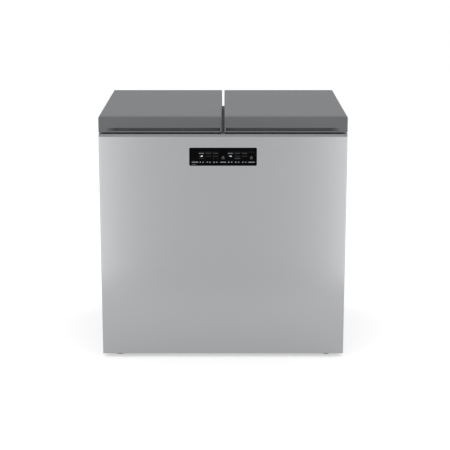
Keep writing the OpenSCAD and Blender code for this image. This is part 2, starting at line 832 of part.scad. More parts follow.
module refrigerant_pipes() {
    inlet = cond_tube(0);
    outlet = cond_tube(2 * cond_rows - 1);
    feed_y = tail_ys[0];
    suck_y = tail_ys[1];
    away_x = discharge_stub.x - 16;
    branch_r = tube_r - 0.5;
    color("peru") {
        // Discharge: compressor to condenser
        pipe([discharge_stub, [away_x, discharge_stub.y, discharge_stub.z],
            [away_x, bend_y, discharge_stub.z], [away_x, bend_y, suction_z], [inlet.x, bend_y, suction_z],
            [inlet.x, bend_y, inlet[1]], [inlet.x, cond_y0 - 3, inlet[1]]], tube_r);
        // Liquid line: condenser to drier, and drier to both evaporators
        pipe([[outlet.x, cond_y0 - 3, outlet[1]], [outlet.x, bend_y, outlet[1]],
            [outlet.x, bend_y, liquid_z], [outlet.x, feed_y, liquid_z],
            [drier_x[0], feed_y, liquid_z]], tube_r);
        pipe([[drier_x[1], feed_y, liquid_z], [tail_x, feed_y, liquid_z],
            [tail_x, feed_y, tail_end_z]], tube_r);
        rod([-tail_x, feed_y, liquid_z], [-tail_x, feed_y, tail_end_z], branch_r);
        // Suction: both evaporators to compressor
        pipe([[-tail_x, suck_y, tail_end_z], [-tail_x, suck_y, suction_z],
            [suction_stub.x - 10, suck_y, suction_z], [suction_stub.x - 10, suction_stub.y, suction_z],
            suction_stub - [10, 0, 0], suction_stub], tube_r);
        rod([tail_x, suck_y, suction_z], [tail_x, suck_y, tail_end_z], branch_r);
    }
}

box_clear = 30;
box_lo = [-half_w + box_clear, back_y - ctrl_d - box_clear, pan_top_z];
box_hi = box_lo + [ctrl_w, ctrl_d, ctrl_h];

module control_box() {
    color("white") difference() {
        block(box_lo, box_hi);
        block(box_lo + [box_t, box_t, box_t], box_hi + [-box_t, 1, -box_t]);
    }
}

module control_board() {
    y = box_lo.y + 14;
    lo = [box_lo.x + 8, box_lo.z + 8];
    hi = [box_hi.x - 8, box_hi.z - 8];
    color("darkgreen") {
        along_y(y, y + board_t) translate(lo) square(hi - lo);
        for (x = [lo.x + 6, hi.x - 6], z = [lo[1] + 6, hi[1] - 6])
            rod([x, box_lo.y + box_t, z], [x, y, z], 3);
        for (i = [0:3])
            translate([lo.x + (i + 0.7) * ctrl_w / 5, 0, hi[1] - ctrl_h / 5])
                along_y(y + board_t, y + ctrl_d / 3) circle(ctrl_w / 15);
        block([lo.x + ctrl_w / 8, y + board_t, lo[1] + ctrl_h / 10],
            [lo.x + ctrl_w / 2, y + ctrl_d / 2, lo[1] + ctrl_h * 0.37]);
    }
}

module control_box_cover() {
    t = box_t;
    color("white") difference() {
        block([box_lo.x, box_hi.y, box_lo.z], [box_hi.x, box_hi.y + t, box_hi.z]);
        for (i = [0:7]) block([box_lo.x + 20, box_hi.y - 1, box_hi.z - 30 - i * 10],
            [box_hi.x - 20, box_hi.y + t + 1, box_hi.z - 26 - i * 10]);
    }
}

// ---- Back ----

cover_lo = [-half_w + 6, pan_z + 4];
cover_hi = [half_w - 6, room_z - 1];
louvre_zs = [for (i = [0:louvres - 1]) cover_lo[1] + 40 + i * louvre_pitch];
louvre_xs = [cond_x - louvre_w / 2, comp_x - louvre_w / 2];
gland_x = louvre_xs[0] - gland_r - 2;
gland_z = pan_top_z + gland_lift;
cover_screws = [for (x = [cover_lo.x + 8, cover_lo.x / 3, cover_hi.x / 3, cover_hi.x - 8],
    z = [cover_lo[1] + 8, cover_hi[1] - 8]) [x, z]];

module rear_cover() {
    slot_h = 7;
    lift = 5;
    color("grey") {
        along_y(back_y - sheet_t, back_y) difference() {
            rounded_rect(cover_lo, cover_hi, edge_r);
            for (x = louvre_xs, z = louvre_zs) translate([x, z]) square([louvre_w, slot_h]);
            for (p = cover_screws) translate(p) circle(2);
            translate([gland_x, gland_z]) circle(gland_r - 3);
        }
        // Hoods of the louvres, each open below
        for (x = louvre_xs, z = louvre_zs) along_x(x, x + louvre_w)
            polygon([[back_y - sheet_t, z + slot_h], [back_y - sheet_t, z + slot_h + 1.5],
                [back_y + lift, z + 1.5], [back_y + lift, z]]);
    }
}

module rear_cover_screws() {
    color("silver") for (p = cover_screws) translate([p.x, back_y, p[1]]) to_back() screw(sheet_t);
}

module cord_gland() {
    color("black") translate([gland_x, back_y - sheet_t, gland_z]) to_back() difference() {
        union() {
            translate([0, 0, -4]) cylinder(r = gland_r, h = 4);
            cylinder(r = gland_r - 3, h = sheet_t);
            translate([0, 0, sheet_t]) cylinder(r = gland_r, h = 4);
        }
        translate([0, 0, -5]) cylinder(r = 5, h = 12);
    }
}

module wall_spacers() {
    size = [spacer_w, spacer_h];
    color("dimgrey") both_sides() translate([half_w * 0.62, 0, spacer_z]) difference() {
        along_y(back_y, back_y + spacer_l) rounded_rect(-size / 2, size / 2, 8);
        along_y(back_y - 1, back_y + spacer_l - box_t) rounded_rect(-size / 2, size / 2, 8 - box_t, -box_t);
    }
}

// ---- Hinges ----

// Puts its child at each hinge of the right-hand lid, with the pin along X through its origin
module at_hinges() { for (x = hinge_xs) translate([x, pin_y, pin_z]) children(); }

ear_x = hinge_w / 2;
back_gap = pin_y - back_y;
bracket_top = -frame_h;

module hinge_bracket() {
    difference() {
        union() {
            along_y(-back_gap, -back_gap + bracket_t)
                rounded_rect([-ear_x - 10, bracket_top - bracket_h], [ear_x + 10, bracket_top], 4);
            for (x = [-ear_x - bracket_t, ear_x]) along_x(x, x + bracket_t) {
                circle(knuckle_r);
                polygon([[-back_gap, bracket_top - bracket_h + 14], [-back_gap, bracket_top],
                    [-knuckle_r, 0], [knuckle_r, 0], [knuckle_r, -knuckle_r - 10]]);
            }
        }
        along_x(-ear_x - bracket_t - 1, ear_x + bracket_t + 1) circle(bore_r);
        for (p = bracket_holes)
            translate([p.x, -back_gap - 1, p[1]]) to_back() cylinder(r = 2, h = bracket_t + 2);
    }
}

bracket_holes = [for (x = [-1, 1], z = [bracket_top - 8, bracket_top - bracket_h + 8])
    [x * (ear_x - 8), z]];

module hinge_brackets() { color("silver") both_sides() at_hinges() hinge_bracket(); }

module bracket_screws() {
    color("silver") both_sides() at_hinges() for (p = bracket_holes)
        translate([p.x, -back_gap + bracket_t, p[1]]) to_back() screw(bracket_t);
}

module hinge_pins() {
    l = ear_x + bracket_t;
    color("silver") both_sides() at_hinges() {
        along_x(-l - 1, l + 1) circle(pin_r);
        for (x = [-l - 2.5, l + 0.5]) along_x(x, x + 2) circle(pin_r + 1.5);
    }
}

// Torsion spring round the pin, as one swept tube of six sides
coil_r = knuckle_r - 0.8 - spring_wire / 2;
rings_per_turn = 8;
spring_rings = spring_turns * rings_per_turn;
spring_run = spring_l - spring_wire - 1;
spring_step = spring_run / spring_turns;
function spring_point(i) = let (a = i * 360 / rings_per_turn)
    [-spring_run / 2 + i * spring_run / spring_rings, coil_r * cos(a), coil_r * sin(a)];
spring_points = [for (i = [0:spring_rings]) spring_point(i)];
spring_wire_r = spring_wire / 2;
echo(spring_gap = spring_step * cos(atan(spring_step / (2 * PI * coil_r))) - spring_wire);

module torsion_spring() {
    sides = 6;
    points = [for (i = [0:spring_rings]) let (a = i * 360 / rings_per_turn, out = [0, cos(a), sin(a)])
        for (k = [0:sides - 1]) spring_points[i]
            + spring_wire_r * (cos(k * 360 / sides) * out + sin(k * 360 / sides) * [1, 0, 0])];
    n = len(points);
    faces = concat(
        [for (i = [0:spring_rings - 1], k = [0:sides - 1]) let (a = i * sides, m = (k + 1) % sides)
            each [[a + k, a + m, a + sides + m], [a + k, a + sides + m, a + sides + k]]],
        [[for (k = [sides - 1:-1:0]) k]],
        [[for (k = [0:sides - 1]) n - sides + k]]);
    polyhedron(points, faces);
}

module hinge_springs() { color("silver") both_sides() at_hinges() torsion_spring(); }

module hinge_leaf() {
    top = lid_lift;
    low = top - leaf_t;
    w = hinge_w / 2 + 10;
    difference() {
        union() {
            along_z(low, top) rounded_rect([-w, -leaf_l], [w, -knuckle_r - 2], 4);
            for (x = [-hinge_w / 2 + seat_gap, hinge_w / 2 - seat_gap - knuckle_l]) {
                along_x(x, x + knuckle_l) circle(knuckle_r);
                block([x, -knuckle_r - 3, low], [x + knuckle_l, 0, low + leaf_t * 0.55]);
            }
        }
        along_x(-hinge_w, hinge_w) circle(bore_r);
        for (p = leaf_holes) translate([p.x, p.y, low - 1]) cylinder(r = 2, h = leaf_t + 2);
    }
}

leaf_holes = [for (x = [-1, 1], y = [-leaf_l + 8, -knuckle_r - 10]) [x * (hinge_w / 2 + 2), y]];

// ---- Lids ----

// Front-to-back outline of a lid, set in by g, down to the height z0
module lid_side_outline(g, z0) {
    y0 = front_y + g;
    y1 = lid_y1 - g;
    z1 = lid_top_z - g;
    crown_r = (crown_l * crown_l + crown_drop * crown_drop) / (2 * crown_drop);
    nose_z = z1 - crown_drop - nose_r + g;
    intersection() {
        union() {
            translate([y0, z0]) square([y1 - y0, nose_z - z0]);
            translate([y0 + nose_r - g, z0]) square([y1 - y0 - nose_r + g, z1 - tail_r + g - z0]);
            translate([y0 + nose_r - g, z0]) square([y1 - y0 - nose_r - tail_r + 2 * g, z1 - z0]);
            translate([y0 + nose_r - g, nose_z]) circle(nose_r - g);
            translate([y1 - tail_r + g, z1 - tail_r + g]) circle(tail_r - g);
        }
        union() {
            translate([y0 + crown_l, z0]) square([y1 - y0 - crown_l, z1 - z0]);
            translate([y0 + crown_l, z1 - crown_r]) circle(crown_r, $fn = 720);
        }
    }
}

// Solid of the right-hand lid, set in by g from its skin
module lid_form(g, z0) {
    x0 = lid_x0 + g;
    x1 = lid_x1 - g;
    r = lid_edge_r - g;
    intersection() {
        along_x(x0, x1) lid_side_outline(g, z0);
        along_z(z0, lid_top_z) rounded_rect([x0, front_y + g], [x1, lid_y1 - g], r);
        along_y(front_y, lid_y1) union() {
            translate([x0, z0]) square([x1 - x0, lid_top_z - g - r - z0]);
            translate([x0 + r, z0]) square([x1 - x0 - 2 * r, lid_top_z - g - z0]);
            for (x = [x0 + r, x1 - r]) translate([x, lid_top_z - g - r]) circle(r);
        }
    }
}

// Hollow of the finger grip, set in by g, reaching ahead of the lid by ahead
module grip_form(g, ahead = 0) {
    x0 = lid_x0 + grip_inner + g;
    x1 = lid_x1 - grip_outer - g;
    y1 = front_y + grip_d - g;
    along_z(grip_z + g, grip_z + grip_h - g)
        polygon([[x0, front_y - ahead], [x1 + ahead, front_y - ahead], [x1, front_y],
            [x1 - grip_slope, y1], [x0, y1]]);
}

module lid_shell() {
    color("grey") difference() {
        lid_form(0, lid_z);
        difference() {
            lid_form(skin_t, lid_z - 1);
            grip_form(-skin_t);
            block([lid_x0, front_y, lid_z], [lid_x1, front_y + grip_d + skin_t, grip_z]);
        }
        grip_form(0, 1);
    }
}

module lid_liner() {
    lo = [lid_x0 + skin_t, front_y + grip_d + skin_t + seat_gap];
    hi = [lid_x1 - skin_t, lid_y1 - skin_t];
    r = 2;
    color("whitesmoke") difference() {
        union() {
            along_z(lid_z, lid_z + box_t) rounded_rect(lo, hi, r);
            bowl([plug_lo.x, plug_lo.y, lid_z - plug_h], [plug_hi.x, plug_hi.y, lid_z + box_t], plug_r, 8);
        }
        bowl(plug_lo + [box_t, box_t, lid_z - plug_h + box_t],
            plug_hi + [-box_t, -box_t, lid_z + box_t + 1], plug_r - box_t, 8 - box_t);
    }
}

plug_in = seat_gap + box_t + plug_gap;
plug_lo = [tub_x0 + plug_in, tub_y0 + plug_in, 0];
plug_hi = [tub_x1 - plug_in, tub_y1 - plug_in, 0];
plug_r = tub_r - plug_in;

module lid_foam() {
    g = skin_t + seat_gap;
    color("khaki") {
        difference() {
            lid_form(g, lid_z + box_t + seat_gap);
            grip_form(-skin_t - seat_gap);
            block([lid_x0, front_y, lid_z], [lid_x1, front_y + grip_d + g, grip_z]);
        }
        bowl(plug_lo + [box_t + seat_gap, box_t + seat_gap, lid_z - plug_h + box_t],
            plug_hi - [box_t + seat_gap, box_t + seat_gap, -(lid_z + box_t + seat_gap + 1)],
            plug_r - box_t - seat_gap, 8 - box_t);
    }
}

// Ring of the gasket, w wide and g in from its outer edge
module gasket_ring(g, w) {
    lo = [lid_x0 + gasket_mid_in, front_y + gasket_in];
    hi = [lid_x1 - gasket_in, lid_y1 - gasket_rear_in];
    difference() {
        rounded_rect(lo, hi, gasket_r - g, -g);
        rounded_rect(lo, hi, gasket_r - g - w, -g - w);
    }
}

module lid_gasket() {
    z0 = lid_z - gasket_h;
    color("dimgrey") {
        along_z(z0, z0 + gasket_h * 0.35) gasket_ring(0.5, gasket_w - 1);
        along_z(z0 + gasket_h * 0.35, z0 + gasket_h * 0.6) gasket_ring(2, gasket_w - 4);
        along_z(z0 + gasket_h * 0.6, lid_z) gasket_ring(0, gasket_w);
    }
}

module lid_grip() {
    color("dimgrey") difference() {
        grip_form(0);
        grip_form(grip_t, grip_t + 1);
    }
}

module lid_bumper() {
    x = lid_x0 + bumper_in;
    y = front_y + 2;
    color("black")
        along_z(lid_z - gasket_h, lid_z) rounded_rect([x, y], [x + bumper_w, y + bumper_d], 3);
}

module hinge_leaves() {
    color("silver") at_hinges() {
        hinge_leaf();
        for (p = leaf_holes)
            translate([p.x, p.y, lid_lift - leaf_t]) mirror([0, 0, 1]) screw(leaf_t);
    }
}

module lid_shell_right() { lid_shell(); }
module lid_shell_left() { left() lid_shell(); }
module lid_liner_right() { lid_liner(); }
module lid_liner_left() { left() lid_liner(); }
module lid_foam_right() { lid_foam(); }
module lid_foam_left() { left() lid_foam(); }
module lid_gasket_right() { lid_gasket(); }
module lid_gasket_left() { left() lid_gasket(); }
module lid_grip_right() { lid_grip(); }
module lid_grip_left() { left() lid_grip(); }
module lid_bumper_right() { lid_bumper(); }
module lid_bumper_left() { left() lid_bumper(); }
module hinge_leaves_right() { hinge_leaves(); }
module hinge_leaves_left() { left() hinge_leaves(); }

// ---- Feet and rollers ----

module foot() {
    color("black") translate([foot_x, foot_y, 0]) rotate_extrude() difference() {
        union() {
            translate([0, 1.5]) square([foot_r, foot_pad_h - 1.5]);
            square([foot_r - 1.5, foot_pad_h]);
            square([stem_r, pan_top_z + 4]);
            square([stem_r + 4, foot_pad_h + 3]);
        }
        translate([foot_r, 0]) circle(1.5);
    }
}

module foot_right() { foot(); }
module foot_left() { left() foot(); }

module foot_nuts() {
    h = 10;
    color("silver") both_sides() translate([foot_x, foot_y, pan_z - h]) difference() {
        union() {
            cylinder(r = stem_r * 2, h = h, $fn = 6);
            translate([0, 0, h - 2]) cylinder(r = stem_r * 2 + 6, h = 2);
        }
        translate([0, 0, -1]) cylinder(r = stem_r + run_fit, h = h + 2);
    }
}

module roller() {
    bore = axle_r + run_fit;
    color("dimgrey") translate([foot_x - roller_w / 2, roller_y, roller_r]) rotate([0, 90, 0])
        rotate_extrude() difference() {
            translate([bore, 0]) square([roller_r - bore, roller_w]);
            for (y = [0, roller_w]) translate([(roller_r + bore) / 2, y]) circle(2);
        }
}

module roller_right() { roller(); }
module roller_left() { left() roller(); }

roller_ear_x = [-roller_w / 2 - 3, roller_w / 2 + 1];

module roller_brackets() {
    ear_t = 2;
    low = 5;
    y = roller_r - 4;
    color("silver") both_sides() translate([foot_x, roller_y, 0]) difference() {
        union() {
            for (x = roller_ear_x) along_x(x, x + ear_t) {
                translate([-y, roller_r]) square([2 * y, pan_z - roller_r]);
                translate([0, roller_r]) circle(y - 1);
            }
            for (x = [roller_ear_x[0] - 12, roller_ear_x[1] + ear_t])
                block([x, -y, pan_z - 1.5], [x + 12, y, pan_z]);
        }
        translate([-roller_w, 0, roller_r]) rotate([0, 90, 0])
            cylinder(r = axle_r + run_fit, h = 2 * roller_w);
    }
}

module roller_axles() {
    l = roller_w / 2 + 5;
    color("silver") both_sides() translate([foot_x, roller_y, roller_r]) {
        along_x(-l, l) circle(axle_r);
        for (x = [-l - 1, l]) along_x(x, x + 1) circle(axle_r + 1.5);
    }
}

base_pan();
side_panel_left();
side_panel_right();
back_panel();
front_panel();
top_frame();
tub_left();
tub_right();
cabinet_foam();
evaporator_left();
evaporator_right();
sensor_covers();
machine_room_wall();
display_window();
display_housing();
display_board();
compressor();
compressor_mounts();
compressor_studs();
terminal_cover();
condenser();
fan_shroud();
fan_motor();
fan_rotor();
filter_drier();
refrigerant_pipes();
control_box();
control_board();
control_box_cover();
rear_cover();
rear_cover_screws();
cord_gland();
wall_spacers();
hinge_brackets();
bracket_screws();
hinge_pins();
hinge_springs();
lid_shell_left();
lid_liner_left();
lid_foam_left();
lid_gasket_left();
lid_grip_left();
lid_bumper_left();
hinge_leaves_left();
lid_shell_right();
lid_liner_right();
lid_foam_right();
lid_gasket_right();
lid_grip_right();
lid_bumper_right();
hinge_leaves_right();
foot_left();
foot_right();
foot_nuts();
roller_left();
roller_right();
roller_brackets();
roller_axles();
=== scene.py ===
"""Looks of a chest refrigerator: two top lids over two tubs, a satin steel front and a touch display.

Metres. +Z is up and the front faces -Y. Every piece lies where it is at rest, with the lids shut.
"""

import json
import math

import bpy
import bmesh
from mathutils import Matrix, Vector

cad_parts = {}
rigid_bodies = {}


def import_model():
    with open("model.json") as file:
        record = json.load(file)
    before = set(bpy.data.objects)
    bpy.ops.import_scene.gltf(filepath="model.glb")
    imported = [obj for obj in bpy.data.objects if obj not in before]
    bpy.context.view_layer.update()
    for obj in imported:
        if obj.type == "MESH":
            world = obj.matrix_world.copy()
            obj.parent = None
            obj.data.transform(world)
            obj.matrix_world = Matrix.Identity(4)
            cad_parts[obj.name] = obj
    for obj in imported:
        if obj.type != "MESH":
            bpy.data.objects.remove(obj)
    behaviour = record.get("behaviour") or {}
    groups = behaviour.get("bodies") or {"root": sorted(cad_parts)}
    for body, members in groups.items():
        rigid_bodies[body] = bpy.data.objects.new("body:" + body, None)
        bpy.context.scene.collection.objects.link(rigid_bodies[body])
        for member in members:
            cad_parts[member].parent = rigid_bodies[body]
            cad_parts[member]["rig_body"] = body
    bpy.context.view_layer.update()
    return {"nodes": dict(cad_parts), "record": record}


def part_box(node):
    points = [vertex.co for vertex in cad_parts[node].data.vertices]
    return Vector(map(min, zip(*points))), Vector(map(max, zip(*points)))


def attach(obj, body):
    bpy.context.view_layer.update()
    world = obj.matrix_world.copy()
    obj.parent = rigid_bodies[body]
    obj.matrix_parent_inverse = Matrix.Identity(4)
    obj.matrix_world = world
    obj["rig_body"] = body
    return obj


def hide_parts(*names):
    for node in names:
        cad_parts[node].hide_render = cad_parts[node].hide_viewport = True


MM = 0.001
WHITE = (1.0, 1.0, 1.0, 1.0)
WELD = 1e-6  # metres, within which two corners are one
NOISE_LOW, NOISE_HIGH = 0.3, 0.7  # most of a noise lies between these


# ---- Node trees ----


def add(tree, kind, inputs=None, **settings):
    """A node of that kind, with its settings, and its inputs set to values or linked to sockets."""
    node = tree.nodes.new(kind)
    for name, value in settings.items():
        setattr(node, name, value)
    for name, value in (inputs or {}).items():
        if isinstance(value, bpy.types.NodeSocket):
            tree.links.new(value, node.inputs[name])
        else:
            node.inputs[name].default_value = value
    return node


def colour(r, g, b, gain=1.0):
    """A plain colour, made darker or lighter by the gain."""
    return (r * gain, g * gain, b * gain, 1.0)


def new_finish(name):
    """An empty material and its node tree."""
    material = bpy.data.materials.new(name)
    material.use_nodes = True
    material.node_tree.nodes.clear()
    return material, material.node_tree


def on_object(tree, per_metre):
    """The piece's own coordinates, counted in pattern cells along X, Y and Z."""
    place = add(tree, "ShaderNodeTexCoord")
    return add(tree, "ShaderNodeMapping",
               {"Vector": place.outputs["Object"], "Scale": per_metre}).outputs["Vector"]


def grain(tree, per_metre, detail=3.0, rough=0.55):
    """Noise between 0 and 1 on the piece's own coordinates."""
    return add(tree, "ShaderNodeTexNoise",
               {"Vector": on_object(tree, per_metre), "Scale": 1.0, "Detail": detail,
                "Roughness": rough}).outputs["Fac"]


def cells(tree, per_metre):
    """A Voronoi pattern's outputs on the piece's own coordinates."""
    return add(tree, "ShaderNodeTexVoronoi",
               {"Vector": on_object(tree, per_metre), "Scale": 1.0}).outputs


def between(tree, fac, low, high):
    """Turns noise into values between low and high."""
    return add(tree, "ShaderNodeMapRange", {"Value": fac, "From Min": NOISE_LOW, "From Max": NOISE_HIGH,
                                            "To Min": low, "To Max": high}).outputs["Result"]


def around(tree, fac, middle, reach):
    """Turns noise into values that stray from the middle by the reach at most."""
    return between(tree, fac, middle - reach, middle + reach)


def shades(tree, fac, tone, spread):
    """The tone, a little darker or lighter as the noise goes."""
    ramp = add(tree, "ShaderNodeValToRGB", {"Fac": fac})
    ends = ((NOISE_LOW, 1 - spread), (NOISE_HIGH, 1 + spread))
    for stop, (position, gain) in zip(ramp.color_ramp.elements, ends):
        stop.position = position
        stop.color = colour(*tone[:3], gain)
    return ramp.outputs["Color"]


def surface(tree, inputs):
    """Ends a material's tree with its one shader."""
    shader = add(tree, "ShaderNodeBsdfPrincipled", inputs)
    add(tree, "ShaderNodeOutputMaterial", {"Surface": shader.outputs["BSDF"]})


def bump(tree, height, distance, strength=1.0):
    """The normal that a height gives, with the height of its peaks in metres."""
    return add(tree, "ShaderNodeBump", {"Height": height, "Distance": distance,
                                        "Strength": strength}).outputs["Normal"]


# ---- Finishes ----


def painted(name, tone, rough, orange_peel=0.00004, spread=0.03, specular=0.5):
    """Paint or powder coat, with a fine orange-peel surface."""
    material, tree = new_finish(name)
    peel = grain(tree, per_metre=(900, 900, 900), detail=2.0)
    cloud = grain(tree, per_metre=(7, 7, 7), detail=2.0)
    surface(tree, {
        "Base Color": shades(tree, cloud, tone, spread),
        "Roughness": around(tree, peel, rough, reach=0.04),
        "Specular IOR Level": specular,
        "Normal": bump(tree, peel, orange_peel),
    })
    return material


def moulded(name, tone, rough, texture=600, depth=0.00005, spread=0.03, specular=0.5):
    """Injection-moulded plastic or rubber, with a spark-eroded texture."""
    material, tree = new_finish(name)
    spark = grain(tree, per_metre=(texture, texture, texture), detail=4.0, rough=0.7)
    flow = grain(tree, per_metre=(11, 11, 3), detail=3.0)
    surface(tree, {
        "Base Color": shades(tree, flow, tone, spread),
        "Roughness": around(tree, spark, rough, reach=0.07),
        "Specular IOR Level": specular,
        "Normal": bump(tree, spark, depth),
    })
    return material


def metal(name, tone, rough, per_metre):
    """Bare metal, with its grain drawn out along the axis that has the fewest cells."""
    material, tree = new_finish(name)
    drawn = grain(tree, per_metre, detail=4.0, rough=0.65)
    surface(tree, {
        "Base Color": shades(tree, drawn, tone, spread=0.08),
        "Roughness": around(tree, drawn, rough, reach=0.06),
        "Metallic": 1.0,
        "Normal": bump(tree, drawn, 0.00002),
    })
    return material


def satin_front_steel():
    """The front panel: satin steel with a fine level grain."""
    material, tree = new_finish("front_steel")
    hairline = grain(tree, per_metre=(9, 9, 2600), detail=3.0, rough=0.6)
    tangent = add(tree, "ShaderNodeTangent", direction_type="RADIAL", axis="Z").outputs["Tangent"]
    surface(tree, {
        "Base Color": shades(tree, hairline, (0.366, 0.372, 0.380), spread=0.012),
        "Roughness": between(tree, hairline, 0.20, 0.24),
        "Metallic": 1.0,
        "Anisotropic": 0.8,
        "Tangent": tangent,
        "Normal": bump(tree, hairline, 0.0000016, strength=0.5),
    })
    return material


def galvanised_sheet():
    """Zinc-coated sheet with its spangle."""
    material, tree = new_finish("galvanised")
    spangle = cells(tree, per_metre=(90, 90, 90))
    flake = add(tree, "ShaderNodeSeparateColor", {"Color": spangle["Color"]}).outputs["Red"]
    surface(tree, {
        "Base Color": shades(tree, flake, (0.50, 0.52, 0.54), spread=0.10),
        "Roughness": between(tree, flake, 0.34, 0.52),
        "Metallic": 1.0,
        "Normal": bump(tree, flake, 0.00001, strength=0.4),
    })
    return material


def poured_foam():
    """Cut polyurethane foam, full of small cells."""
    material, tree = new_finish("foam")
    bubbles = cells(tree, per_metre=(520, 520, 520))
    swirl = grain(tree, per_metre=(14, 14, 14), detail=5.0, rough=0.6)
    surface(tree, {
        "Base Color": shades(tree, swirl, (0.72, 0.60, 0.30), spread=0.12),
        "Roughness": 0.9,
        "Normal": bump(tree, bubbles["Distance"], 0.0006),
    })
    return material


def circuit_board():
    """Green solder resist over copper tracks."""
    material, tree = new_finish("circuit_green")
    tracks = add(tree, "ShaderNodeTexBrick", {
        "Vector": on_object(tree, per_metre=(260, 260, 260)), "Scale": 1.0, "Mortar Size": 0.06,
        "Color1": colour(0.010, 0.085, 0.030), "Color2": colour(0.014, 0.105, 0.040),
        "Mortar": colour(0.035, 0.20, 0.075)})
    surface(tree, {"Base Color": tracks.outputs["Color"], "Roughness": 0.35, "Coat Weight": 0.3})
    return material


def display_glass():
    """Smoked glass over the display, black where nothing behind it is lit."""
    material, tree = new_finish("black_glass")
    haze = grain(tree, per_metre=(40, 40, 40), detail=2.0)
    surface(tree, {
        "Base Color": shades(tree, haze, (0.0012, 0.0012, 0.0014), spread=0.1),
        "Roughness": between(tree, haze, 0.06, 0.09),
        "Specular IOR Level": 0.03,
    })
    return material


def display_mark(name, tone, glow=0.0):
    """Print or light on the display's glass."""
    material, tree = new_finish(name)
    speck = grain(tree, per_metre=(900, 900, 900), detail=1.0)
    surface(tree, {
        "Base Color": shades(tree, speck, tone, spread=0.05),
        "Roughness": 0.6,
        "Specular IOR Level": 0.0,
        "Emission Color": tone,
        "Emission Strength": glow,
    })
    return material


FINISHES = {
    "front_steel": satin_front_steel(),
    "side_paint": painted("side_paint", (0.30, 0.305, 0.31), rough=0.42),
    "back_steel": painted("back_steel", (0.34, 0.35, 0.36), rough=0.46, orange_peel=0.00006),
    "galvanised": galvanised_sheet(),
    "lid_grey": painted("lid_grey", (0.119, 0.124, 0.129), rough=0.42, spread=0.012, specular=0.08),
    "frame_grey": painted("frame_grey", (0.21, 0.215, 0.22), rough=0.50, specular=0.3),
    "grip_grey": moulded("grip_grey", (0.125, 0.129, 0.134), rough=0.55, specular=0.1),
    "tub_white": moulded("tub_white", (0.74, 0.755, 0.765), rough=0.34, texture=350, depth=0.00003,
                         spread=0.012),
    "foam": poured_foam(),
    "copper": metal("copper", (0.72, 0.36, 0.21), rough=0.34, per_metre=(120, 120, 40)),
    "aluminium": metal("aluminium", (0.74, 0.75, 0.76), rough=0.36, per_metre=(60, 500, 500)),
    "zinc": metal("zinc", (0.62, 0.62, 0.60), rough=0.34, per_metre=(300, 300, 300)),
    "black_glass": display_glass(),
    "black_enamel": painted("black_enamel", (0.012, 0.012, 0.013), rough=0.28, orange_peel=0.0001),
    "black_rubber": moulded("black_rubber", (0.012, 0.012, 0.012), rough=0.72, texture=500, specular=0.25),
    "gasket_grey": moulded("gasket_grey", (0.045, 0.047, 0.050), rough=0.60, texture=300),
    "dark_plastic": moulded("dark_plastic", (0.030, 0.031, 0.033), rough=0.50),
    "white_plastic": moulded("white_plastic", (0.68, 0.69, 0.69), rough=0.42),
    "circuit_green": circuit_board(),
}
PRINT = display_mark("display_print", colour(0.46, 0.48, 0.50))
DIM_PRINT = display_mark("dim_print", colour(0.20, 0.21, 0.22))
FAINT_PRINT = display_mark("faint_print", colour(0.055, 0.058, 0.062))
LAMP = display_mark("indicator_lamp", colour(0.92, 0.96, 1.0), glow=1.0)


# ---- Frame ----


def dress(mesh, material):
    """One finish all over a mesh, and no empty slot beside it."""
    mesh.materials.clear()
    mesh.materials.append(material)
    mesh.polygons.foreach_set("material_index", [0] * len(mesh.polygons))


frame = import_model()
for part in frame["record"]["subparts"]:
    dress(frame["nodes"][part["node"]].data, FINISHES[part["material_slot"]])


# ---- Pieces ----


def make_piece(name, mesh, body, material, replaced=()):
    """A finished piece that rides a body and stands for the replaced nodes, if any."""
    piece = bpy.data.objects.new(name, mesh)
    bpy.context.scene.collection.objects.link(piece)
    dress(mesh, material)
    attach(piece, body)
    if replaced:
        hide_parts(*replaced)


def body_of(node):
    """The body that a node of the frame rides on."""
    return frame["nodes"][node]["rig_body"]


def points_mesh(name, points, sizes=()):
    """Loose points for a tree to work on, each with a size of its own where sizes are given."""
    mesh = bpy.data.meshes.new(name)
    mesh.from_pydata([tuple(p) for p in points], [], [])
    if sizes:
        size = mesh.attributes.new("size", "FLOAT_VECTOR", "POINT")
        size.data.foreach_set("vector", [v for s in sizes for v in s])
    return mesh


def run_tree(tree, mesh, name, **inputs):
    """The mesh that a Geometry Nodes tree makes from another mesh."""
    carrier = bpy.data.objects.new(name, mesh)
    bpy.context.scene.collection.objects.link(carrier)
    modifier = carrier.modifiers.new(tree.name, "NODES")
    modifier.node_group = tree
    for item in tree.interface.items_tree:
        if item.item_type == "SOCKET" and item.in_out == "INPUT" and item.name in inputs:
            modifier[item.identifier] = inputs[item.name]
    graph = bpy.context.evaluated_depsgraph_get()
    result = bpy.data.meshes.new_from_object(carrier.evaluated_get(graph))
    carrier.modifiers.remove(modifier)
    bpy.data.objects.remove(carrier)
    return result


def new_tree(name, numbers):
    """An empty Geometry Nodes tree with named number inputs, and its group input and output."""
    tree = bpy.data.node_groups.new(name, "GeometryNodeTree")
    tree.is_modifier = True
    tree.interface.new_socket("Geometry", in_out="INPUT", socket_type="NodeSocketGeometry")
    tree.interface.new_socket("Geometry", in_out="OUTPUT", socket_type="NodeSocketGeometry")
    for label, default in numbers.items():
        socket = tree.interface.new_socket(label, in_out="INPUT", socket_type="NodeSocketFloat")
        socket.default_value = default
    return tree, add(tree, "NodeGroupInput"), add(tree, "NodeGroupOutput")


def times(tree, value, factor):
    """A tree's value times a plain number."""
    return add(tree, "ShaderNodeMath", {0: value, 1: factor}, operation="MULTIPLY").outputs[0]


def vector(tree, x=0.0, y=0.0, z=0.0):
    """A vector put together from a tree's values or plain numbers."""
    return add(tree, "ShaderNodeCombineXYZ", {"X": x, "Y": y, "Z": z}).outputs["Vector"]


